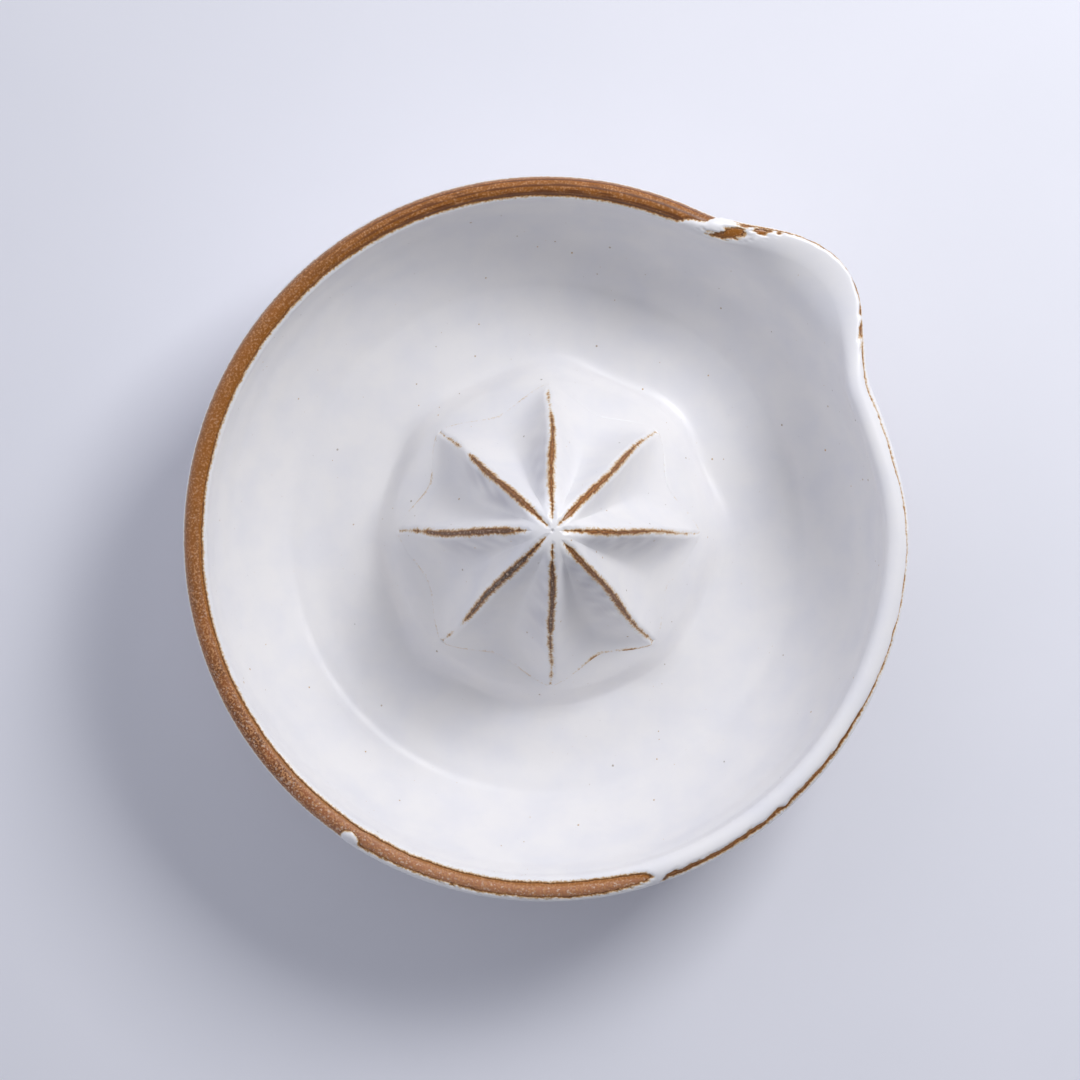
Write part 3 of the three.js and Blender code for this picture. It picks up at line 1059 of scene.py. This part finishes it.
@dataclass(frozen=True)
class RimWear:
    """Where the glaze was wiped, worn or flaked off the rim.

    Attributes:
        rim_radius: Radius of the rim.
        rim_half: Half the rim's width.
        band: Bare band: degrees round the bowl, and its inner and outer edge in degrees over the rim.
        hairline: Worn line: degrees round the bowl, degrees over the rim and half its width.
        flakes: Spots where the coat is gone.
        drips: Spots where glaze ran onto the bare band.
    """

    rim_radius: float = 75.0
    rim_half: float = 2.0
    band: tuple[tuple[float, float, float], ...] = (
        (0.0, 170, 60), (60.2, 210, 150), (61.2, 182, 196), (63.0, 108, 200), (65.4, 86, 200),
        (66.3, 74, 200), (67.2, 42, 200), (70.0, 34, 200), (100.0, 34, 200), (120.0, 40, 198),
        (180.0, 43, 198), (228.0, 43, 196), (234.0, 43, 190), (238.0, 44, 142), (244.0, 46, 128),
        (255.0, 47, 124), (265.0, 50, 132), (276.0, 52, 138), (281.0, 58, 135), (284.5, 66, 128),
        (286.5, 84, 116), (287.4, 101, 104), (288.4, 170, 60), (360.0, 170, 60),
    )
    hairline: tuple[tuple[float, float, float], ...] = (
        (0.0, 152, -0.12), (20.0, 152, -0.10), (26.0, 152, -0.06), (31.0, 142, 0.0), (36.0, 128, 0.05),
        (39.0, 122, 0.2), (42.0, 120, 0.03), (48.0, 120, 0.04), (53.0, 124, 0.07), (57.0, 140, 0.05),
        (61.0, 165, -0.3), (64.0, 165, -9.0), (287.8, 165, -9.0), (288.6, 165, -0.2), (289.2, 158, 0.45),
        (290.0, 138, 0.30), (293.0, 134, 0.34), (300.0, 133, 0.36), (306.0, 134, 0.28),
        (312.0, 136, 0.20), (318.0, 135, 0.27), (324.0, 137, 0.15), (330.0, 138, 0.06),
        (338.0, 146, -0.05), (350.0, 152, -0.08), (360.0, 152, -0.12),
    )
    flakes: tuple[WornSpot, ...] = (
        WornSpot(58.4, 70, 1.8, 1.0, 0.25),
        WornSpot(59.9, 44, 1.7, 0.4, 0.2),
        WornSpot(57.0, 128, 1.0, 0.5, 0.4),
        WornSpot(54.65, 100, 0.9, 0.3, 0.55),
        WornSpot(49.1, 142, 0.9, 0.25, 0.3),
        WornSpot(36.0, 120, 0.7, 0.4, 0.25),
        WornSpot(33.5, 122, 1.1, 0.3, 0.25),
    )
    drips: tuple[WornSpot, ...] = (WornSpot(236.9, 140, 2.5, 1.9, 0.18),)

    def spot(self, spot: WornSpot, angle: Array, over: Array, ragged: Array) -> Array:
        """Depth inside a worn spot in millimetres, negative outside it; ragged roughens its edge."""
        along = np.radians(turn_between(angle, spot.angle)) * self.rim_radius / spot.length
        aside = np.radians(over - spot.over) * self.rim_half / spot.width
        return (1 - np.hypot(along, aside)) * min(spot.length, spot.width) + spot.ragged * ragged

    def edges(self, angle: Array) -> tuple[Array, Array]:
        """Inner and outer edge of the bare band at each angle, in degrees over the rim."""
        table = np.array(self.band)
        return tuple(np.interp(angle % 360, table[:, 0], table[:, i]) for i in (1, 2))

    def depth(self, angle: Array, over: Array, points: Array) -> Array:
        """Depth inside bare clay, in millimetres.

        Args:
            angle: Degrees round the bowl.
            over: Degrees over the rim.
            points: Points of the skin, for the ripple of its edges.

        Returns:
            Depths, negative where the coat lies.
        """
        fine, broad = Ripple(0.9, 31).at(points), Ripple(3.6, 32).at(points)
        inner, outer = self.edges(angle)
        to_mm = math.radians(1) * self.rim_half
        from_inside = (over - inner) * to_mm + (0.05 * fine + 0.09 * broad)
        from_outside = (outer - over) * to_mm + 0.16 * fine + 0.1 * broad
        depth = np.minimum(from_inside, from_outside)
        table = np.array(self.hairline)
        middle, half = (np.interp(angle % 360, table[:, 0], table[:, i]) for i in (1, 2))
        line = half - np.abs(over - middle - 5 * broad) * to_mm + 0.12 * fine
        depth = np.maximum(depth, line)
        for flake in self.flakes:
            depth = np.maximum(depth, self.spot(flake, angle, over, fine))
        for drip in self.drips:
            depth = np.minimum(depth, -self.spot(drip, angle, over, broad))
        return depth

    def fumed(self, angle: Array, over: Array) -> tuple[Array, Array, Array]:
        """How golden the clay is beside the liner, how glossy toward the lip, and how pale in front.

        Args:
            angle: Degrees round the bowl.
            over: Degrees over the rim.

        Returns:
            Shares from 0 to 1 for the gold, for the glossy streaks and for the paler clay.
        """
        inner, _ = self.edges(angle)
        beside = (over - inner) * math.radians(1) * self.rim_half
        toward_lip = ramp(angle, 58, 68) * (1 - ramp(angle, 105, 150))
        gilded = ramp(angle, 58, 68) * (1 - ramp(angle, 165, 228))
        golden = np.maximum(0.85 * (1 - ramp(beside, 0.35, 1.15)), 0.64 * gilded)
        turn = np.radians(angle)
        lines = np.sin(over * 0.16 + 3 * turn) + 0.7 * np.sin(over * 0.29 + 7 * turn + 1.0)
        lines = lines + 0.9 * np.sin(41 * turn + over * 0.05) * np.sin(23 * turn - over * 0.11)
        streaks = np.maximum(0.9 * ramp(lines, -0.2, 1.0), 1 - ramp(beside, 0.15, 0.7))
        return golden, toward_lip * streaks, 0.8 * ramp(angle, 215, 250) + 0 * over


@dataclass(frozen=True)
class Bowl:
    """Thrown bowl with a rounded rim and a lip pulled out of the wall."""

    height: float = 42.0
    rim_radius: float = 75.0
    rim_width: float = 4.0
    floor_top: float = 11.0
    base: float = 5.0
    floor_radius: float = 46.2
    base_radius: float = 45.0
    opening_radius: float = 20.5
    opening_edge: float = 0.6
    lip_angle: float = 43.0
    lip_spread_right: float = 19.0
    lip_spread_left: float = 22.0
    lip_reach: float = 7.6
    lip_dip: float = 2.2
    lip_root: float = 8.0
    lip_curl: float = 3.6
    pinch_angle: float = 20.0
    pinch_spread: float = 22.0
    pinch_depth: float = 1.2
    groove_radius: float = 55.6
    groove_depth: float = 0.5
    groove_width: float = 2.1
    glaze_line: float = 11.0
    columns: int = 576
    wall_rows: int = 40
    rim_rows: int = 44
    outside_rows: int = 34
    base_rows: int = 10
    flat_rows: int = 6
    thrown_rows: int = 22
    under_rows: int = 9

    @property
    def spring(self) -> float:
        """Height at which the wall runs into the rim's round."""
        return self.height - self.rim_width / 2

    @property
    def angles(self) -> Array:
        """Angle of every column, in degrees."""
        return np.arange(self.columns) * 360 / self.columns

    def inside(self, turns: Array) -> tuple[Array, Array]:
        """Radius and height up the inside of the wall, for turns from 0 at the floor to a quarter."""
        reach = self.rim_radius - self.rim_width - self.floor_radius
        radius = self.floor_radius + reach * np.sin(turns)
        return radius, self.spring - (self.spring - self.floor_top) * np.cos(turns)

    def outside(self, heights: Array) -> Array:
        """Radius of the outside of the wall at each height."""
        share = np.clip((self.spring - heights) / (self.spring - self.base), 0, 1)
        return self.base_radius + (self.rim_radius - self.base_radius) * np.sqrt(1 - share**2)

    def rim(self, over: Array) -> tuple[Array, Array]:
        """Radius and height over the rim, for degrees from 0 inside to 180 outside."""
        half = self.rim_width / 2
        turn = np.radians(over)
        return self.rim_radius - half - half * np.cos(turn), self.spring + half * np.sin(turn)

    def line_heights(self) -> Array:
        """Height of the outside coat's lower edge at every column, where the dipped glaze stopped."""
        turn = np.radians(self.angles)
        wave = 0.5 * np.sin(2 * turn + 0.6) + 0.35 * np.sin(5 * turn + 2.0) + 0.2 * np.sin(11 * turn)
        return self.glaze_line + wave

    def outer_rows(self) -> tuple[Array, Array]:
        """Radius and height down the outside by row and column, from the rim to the glaze line."""
        share = np.linspace(0, 1, self.outside_rows + 1)[1:, None]
        height = self.spring + (self.line_heights()[None, :] - self.spring) * share
        return self.outside(height), height

    def shaped(self, radius: Array, height: Array) -> Array:
        """Pull the lip, press the thumb's place beside it and add the groove and soft lines of throwing.

        Args:
            radius: Radii by row and column.
            height: Heights by row and column.

        Returns:
            Points in millimetres by row and column.
        """
        root = self.floor_top + self.lip_root
        pull = np.maximum((height - root) / (self.spring - root), 0) ** self.lip_curl
        turn = turn_between(self.angles, self.lip_angle)
        spread = np.where(turn > 0, self.lip_spread_left, self.lip_spread_right)
        lip = (1 + np.cos(math.pi * np.minimum(np.abs(turn) / spread, 1))) / 2 * pull
        thumb = np.abs(turn_between(self.angles, self.pinch_angle)) / self.pinch_spread
        pinch = (1 + np.cos(math.pi * np.minimum(thumb, 1))) / 2 * pull
        angle = np.radians(self.angles)
        fade = ramp(height, 15, 22) * (1 - ramp(height, self.spring - 6, self.spring - 1))
        ring = 0.07 * np.sin(height * 0.95 + angle) + 0.05 * np.sin(height * 0.57 + 2 * angle + 1.3)
        radius = radius + self.lip_reach * lip - self.pinch_depth * pinch + ring * fade
        groove = self.groove_depth * np.exp(-(((radius - self.groove_radius) / self.groove_width) ** 2))
        height = height - self.lip_dip * lip - np.where(height > self.floor_top, groove, 0)
        return round_axis(radius, angle, height)

    def build(self, finishes: Finishes, wear: RimWear) -> None:
        """Build and dress the clay of the bowl.

        Args:
            finishes: The juicer's materials.
            wear: Where the rim is bare.
        """
        across = np.ones(self.columns)[None, :]
        eased = self.opening_radius + self.opening_edge
        flat = np.linspace(eased, self.floor_radius, self.flat_rows)[:, None] * across
        wall = self.inside(np.linspace(0, math.pi / 2, self.thrown_rows)[1:-1, None] * across)
        over = np.linspace(0, 180, self.rim_rows + 1)[:, None] * across
        rim = self.rim(over)
        outer = self.outer_rows()
        share = np.linspace(0, 1, self.base_rows + 1)[1:, None]
        turn = np.arccos(np.clip((self.spring - self.line_heights()) / (self.spring - self.base), -1, 1))
        low = self.spring - (self.spring - self.base) * np.cos(turn[None, :] * (1 - share))
        under = np.linspace(self.base_radius, eased, self.under_rows)[1:, None] * across
        hole = np.array([self.base + self.opening_edge, self.floor_top - self.opening_edge])[:, None] * across
        radius = np.vstack(
            [flat, wall[0], rim[0], outer[0], self.outside(low), under, 0 * hole + self.opening_radius]
        )
        height = np.vstack(
            [0 * flat + self.floor_top, wall[1], rim[1], outer[1], low, 0 * under + self.base, hole]
        )
        skin = Skin(self.shaped(radius, height), closed_rows=True)
        first = len(flat) + len(wall[0])
        tones = {name: np.zeros(radius.shape) for name in ("gold_and_painted_light", "streak", "pale")}
        for tone, shares in zip(tones.values(), wear.fumed(self.angles[None, :], over)):
            tone[first : first + len(over)] = shares
        dress(ring_piece("bowl_clay", skin, finishes.clay, tones), Slot.BARE_CLAY, "bowl_body")


@dataclass(frozen=True)
class FootRing:
    """Foot turned under the bowl, with eased edges and the fine rings that the turning tool left."""

    height: float = 5.0
    radius: float = 42.0
    width: float = 6.5
    draft: float = 1.0
    edge: float = 0.8
    cove: float = 1.4
    ring_depth: float = 0.05
    ring_pitch: float = 9.0
    base_points: int = 15
    columns: int = 256

    def section(self) -> Array:
        """Closed section of the ring, as radius and height, with the clay on its left hand."""
        inside = self.radius - self.width
        turn = np.linspace(0, math.pi / 2, 7)
        out = self.radius + self.cove * (1 - np.sin(turn)) - 0.3
        cove = np.stack([out, self.height - self.cove * (1 - np.cos(turn))], axis=-1)
        low = self.radius - self.draft - self.edge
        outer = np.stack([low + self.edge * np.cos(turn), self.edge * (1 - np.sin(turn))], axis=-1)
        high = inside + self.draft + self.edge
        flat = np.linspace(low, high, self.base_points)[1:-1]
        ripple = self.ring_depth * (1 + np.cos(flat * self.ring_pitch))
        base = np.stack([flat, ripple], axis=-1)
        inner = np.stack([high - self.edge * np.sin(turn), self.edge * (1 - np.cos(turn))], axis=-1)
        return np.concatenate([cove, outer, base, inner, [[inside, self.height]]])

    def build(self, finishes: Finishes) -> None:
        """Build and dress the foot."""
        section = self.section()
        angle = np.arange(self.columns) * TAU / self.columns
        points = round_axis(section[:, :1], angle, section[:, 1:] + 0 * angle)
        skin = Skin(points, closed_rows=True)
        dress(ring_piece("turned_foot", skin, finishes.clay), Slot.BARE_CLAY, "foot_ring")


@dataclass(frozen=True)
class LaidGlaze:
    """The glaze as it lies on the bowl.

    Attributes:
        skin: Grid on the clay under it.
        over: Degrees over the rim, by row and column.
        height: Height over the clay, by row and column.
        covered: Whether it covers each face of the grid.
    """

    skin: Skin
    over: Array
    height: Array
    covered: Array


@dataclass(frozen=True)
class BowlGlaze:
    """Coats of glaze on the bowl: liner, rim and outside, laid as one skin so that they run together.

    Attributes:
        tuck: How far the liner laps in under the reamer's coat.
        crowding: Over 1, the rows on the wall lie closer toward the rim.
        foot_lap: How far over the glaze line the outside coat starts to end.
        rim_start: Degrees round the bowl at which the rim's coat begins.
        rim_end: Degrees round the bowl at which it ends.
    """

    bowl: Bowl
    reamer: Reamer
    wear: RimWear
    layer: GlazeLayer = GlazeLayer()
    apron_rows: int = 26
    floor_rows: int = 8
    tuck: float = 0.5
    crowding: float = 1.25
    foot_lap: float = 0.35
    rim_start: float = 288.0
    rim_end: float = 62.0

    def skin(self) -> tuple[Skin, Array]:
        """Grid on the clay from the reamer's hem over floor, wall and rim to the glaze line outside.

        Returns:
            The grid, and the degrees over the rim by row and column, carried on down both walls.
        """
        bowl, reamer = self.bowl, self.reamer
        ones = np.ones(bowl.columns)[None, :]
        across = (bowl.angles * reamer.ribs / 360 % 1) * 2 - 1
        start = reamer.flute(reamer.hem(across), across)[0][None, :]
        share = np.linspace(0, 1, self.apron_rows + 1)[:, None]
        apron = np.vstack(
            [start - self.tuck, start - 0.4 * self.tuck, start + (reamer.coil_radius - start) * share]
        )
        flat = np.linspace(reamer.coil_radius, bowl.floor_radius, self.floor_rows + 1)[1:, None] * ones
        centre = np.vstack([apron, flat])
        turns = math.pi / 2 * (1 - (1 - np.linspace(0, 1, bowl.wall_rows + 1)[1:, None]) ** self.crowding)
        wall = bowl.inside(turns * ones)
        over = np.linspace(0, 180, bowl.rim_rows + 1)[1:, None] * ones
        rim = bowl.rim(over)
        outer = bowl.outer_rows()
        radius = np.vstack([centre, wall[0], rim[0], outer[0]])
        poured = reamer.filleted(centre, reamer.flute_height(centre, across[None, :]), across[None, :])
        height = np.vstack([poured, wall[1], rim[1], outer[1]])
        to_degrees = math.degrees(2 / bowl.rim_width)
        carried = np.vstack(
            [
                0 * centre + FAR_INSIDE,
                (wall[1] - bowl.spring) * to_degrees,
                over,
                180 + (bowl.spring - outer[1]) * to_degrees,
            ]
        )
        return Skin(reamer.settle(bowl.shaped(radius, height))), carried

    def lay(self) -> LaidGlaze:
        """Work out the skin, the coat's height on it and the faces that it covers."""
        skin, over = self.skin()
        angle = self.bowl.angles[None, :] + 0 * over
        depth = self.wear.depth(angle, over, skin.points)
        foot = self.bowl.line_heights()[None, :] + self.foot_lap - skin.points[..., 2]
        foot = np.where(over > 200, foot + 0.1 * Ripple(1.5, 41).at(skin.points), -9)
        layer = self.layer
        height = layer.height(np.maximum(depth, foot))
        height[0], height[1] = -0.5 * layer.sunk, layer.flush * layer.full
        return LaidGlaze(skin, over, height, layer.covered(height))

    def mask(self, coat: Coat, laid: LaidGlaze) -> Array:
        """Faces of the skin that one of the coats covers.

        Args:
            coat: The coat.
            laid: The glaze as it lies on the bowl.

        Returns:
            Whether the coat covers each face, by row and column.
        """
        middle = (laid.over[:-1] + laid.over[1:]) / 2
        angle = self.bowl.angles[None, :] + 0 * middle
        glazed_rim = (angle >= self.rim_start) | (angle < self.rim_end)
        on_rim = (middle > 0) & (middle < 180) & glazed_rim
        part = {
            Coat.RIM: on_rim,
            Coat.LINER: (middle < 90) & ~on_rim,
            Coat.OUTSIDE: (middle >= 90) & ~on_rim,
        }[coat]
        return part & laid.covered

    def build(self, finishes: Finishes) -> list[Object]:
        """Build and dress the three coats.

        Args:
            finishes: The juicer's materials.

        Returns:
            The coats as objects.
        """
        laid = self.lay()
        tones = {"coat": np.clip(laid.height / self.layer.full, 0, 1)}
        pieces = []
        for coat in Coat:
            kept, name = self.mask(coat, laid), f"{coat.value}_coat"
            piece = coat_piece(name, laid.skin, laid.height, kept, finishes.glaze, tones, self.layer.bed)
            dress(piece, Slot.WHITE_GLAZE, coat.value)
            pieces.append(piece)
        return pieces


@dataclass(frozen=True)
class IronSpecks:
    """Specks strewn over the inside of the glaze, half sunk in it."""

    per_square_metre: float = 15000.0
    smallest: float = 0.05
    largest: float = 0.25
    flatness: float = 0.22
    seed: int = 7
    tint_seed: int = 3
    rarity: float = 3.0
    full_coat: float = 0.97

    def strewn(self) -> NodeTree:
        """Build the tree that strews specks on a surface.

        Returns:
            The node tree, with the inputs Surface, Density, Smallest, Largest, Flatness, Seed and Finish.
        """
        numbers = dict.fromkeys(("Density", "Smallest", "Largest", "Flatness"), "Float")
        tree, source = new_tree(
            "specks_strewn_on_glaze",
            "Specks",
            {"Surface": "Geometry", **numbers, "Seed": "Int", "Finish": "Material"},
        )
        given = source.outputs
        coat = add_node(tree, "GeometryNodeInputNamedAttribute", {"Name": "strew"}).outputs[0]
        strewn = add_node(
            tree,
            "GeometryNodeDistributePointsOnFaces",
            {"Mesh": given["Surface"], "Density": given["Density"], "Seed": given["Seed"], "Selection": coat},
        )
        grain = add_node(tree, "GeometryNodeMeshIcoSphere", {"Radius": 1.0, "Subdivisions": 2})
        drawn = add_node(tree, "FunctionNodeRandomValue", {2: 0.0, 3: 1.0, "Seed": given["Seed"]})
        rare = add_node(tree, "ShaderNodeMath", {0: drawn.outputs[1], 1: self.rarity}, operation="POWER")
        size = add_node(
            tree,
            "ShaderNodeMapRange",
            {"Value": rare, "To Min": given["Smallest"], "To Max": given["Largest"]},
        ).outputs[0]
        low = add_node(tree, "ShaderNodeMath", {0: size, 1: given["Flatness"]}, operation="MULTIPLY")
        shape = add_node(tree, "ShaderNodeCombineXYZ", {"X": size, "Y": size, "Z": low})
        specks = add_node(
            tree,
            "GeometryNodeInstanceOnPoints",
            {
                "Points": strewn.outputs["Points"],
                "Instance": grain.outputs["Mesh"],
                "Rotation": strewn.outputs["Rotation"],
                "Scale": shape,
            },
        )
        shade = add_node(tree, "FunctionNodeRandomValue", {2: 0.0, 3: 1.0, "Seed": self.tint_seed})
        tinted = add_node(
            tree,
            "GeometryNodeStoreNamedAttribute",
            {"Geometry": specks, "Name": "tint", "Value": shade.outputs[1]},
            domain="INSTANCE",
        )
        solid = add_node(tree, "GeometryNodeRealizeInstances", {"Geometry": tinted})
        close_tree(tree, solid, given["Finish"])
        return tree

    def build(self, coats: list[Object], finishes: Finishes) -> None:
        """Strew the specks over the full coats and dress them.

        Args:
            coats: Coats that carry specks.
            finishes: The juicer's materials.
        """
        points, faces, full, start = [], [], [], 0
        for coat in coats:
            mesh = coat.data
            value = np.empty(len(mesh.vertices), dtype=np.float32)
            mesh.attributes["coat"].data.foreach_get("value", value)
            half = len(mesh.vertices) // 2
            corners = np.array([p.vertices[:] for p in mesh.polygons])
            corners = corners[(corners < half).all(axis=1)]
            points.append(vertices_of(mesh)[:half] / MM)
            faces.append(corners + start)
            full.append(value[:half] > self.full_coat)
            start += half
        piece = new_piece(
            "iron_specks",
            np.concatenate(points),
            np.concatenate(faces),
            finishes.speck,
            {"strew": np.concatenate(full).astype(np.float32)},
        )
        sizes = {
            "Density": self.per_square_metre,
            "Smallest": self.smallest * MM,
            "Largest": self.largest * MM,
            "Flatness": self.flatness,
            "Seed": self.seed,
            "Finish": finishes.speck,
        }
        grown_from_tree(piece, self.strewn(), sizes)
        piece.data.shade_smooth()
        dress(piece, Slot.WHITE_GLAZE)


@dataclass(frozen=True)
class Studio:
    """Pale board, soft window light from the upper right and a camera straight above the bowl."""

    rim_level: float = 40.0
    distance: float = 720.0
    pixel: float = 0.208
    centre_pixel: tuple[float, float] = (545.5, 538.0)
    sensor: float = 36.0
    floor_side: float = 4000.0
    key_place: tuple[float, float, float] = (362.0, 375.0, 540.0)
    key_side: float = 290.0
    key_power: float = 3.7
    key_colour: str = "#FDFDFF"
    sky_colour: str = "#DEE1EE"
    sky_strength: float = 0.82
    sky_side: tuple[float, float, float] = (-0.6, 0.4, -0.69)
    sky_swing: float = 0.8

    def build(self) -> None:
        """Build the board, the light and the camera."""
        half = self.floor_side / 2
        corners = np.array([[-half, -half, 0], [half, -half, 0], [half, half, 0], [-half, half, 0]])
        floor = new_piece("studio_floor", corners, [(0, 1, 2, 3)], StudioFloor().material())
        scene = bpy.context.scene
        light = bpy.data.lights.new("window_light", "AREA")
        light.shape, light.size, light.energy = "SQUARE", self.key_side * MM, self.key_power
        light.color = linear(self.key_colour)[:3]
        key = bpy.data.objects.new("window_light", light)
        key.location = Vector(self.key_place) * MM
        key.rotation_euler = (-key.location).to_track_quat("-Z", "Y").to_euler()
        scene.collection.objects.link(key)
        sky = bpy.data.worlds.new("soft_fill")
        sky.use_nodes = True
        tree = sky.node_tree
        tree.nodes.clear()
        toward = add_node(tree, "ShaderNodeTexCoord").outputs["Generated"]
        side = add_node(tree, "ShaderNodeVectorMath", {0: toward, 1: self.sky_side}, operation="DOT_PRODUCT")
        strength = add_node(
            tree,
            "ShaderNodeMath",
            {0: side.outputs["Value"], 1: self.sky_swing * self.sky_strength, 2: self.sky_strength},
            operation="MULTIPLY_ADD",
        )
        lit = {"Color": linear(self.sky_colour), "Strength": strength}
        fill = add_node(tree, "ShaderNodeBackground", lit)
        add_node(tree, "ShaderNodeOutputWorld", {"Surface": fill})
        scene.world = sky
        scene.view_settings.view_transform = "Standard"
        camera = bpy.data.cameras.new("overhead_camera")
        camera.sensor_width = self.sensor
        camera.lens = self.sensor * self.distance / (self.pixel * FRAME_PIXELS)
        eye = bpy.data.objects.new("overhead_camera", camera)
        aside = (FRAME_PIXELS / 2 - self.centre_pixel[0]) * self.pixel
        along = (self.centre_pixel[1] - FRAME_PIXELS / 2) * self.pixel
        eye.location = Vector((aside, along, self.rim_level + self.distance)) * MM
        scene.collection.objects.link(eye)
        scene.camera = eye


def main() -> None:
    """Build every piece in order."""
    logging.basicConfig(level=logging.INFO, format="%(name)s %(message)s")
    finishes = Finishes(Stoneware().material(), WhiteGlaze().material(), IronSpeck().material())
    reamer, bowl, wear = Reamer(), Bowl(), RimWear()
    bowl.build(finishes, wear)
    FootRing().build(finishes)
    reamer.build(finishes)
    LutingCoil(reamer).build(finishes)
    coats = BowlGlaze(bowl, reamer, wear).build(finishes)
    coats.append(ReamerGlaze(reamer).build(finishes))
    IronSpecks().build(coats[:1] + coats[-1:], finishes)
    Studio().build()


if __name__ == "__main__":
    main()
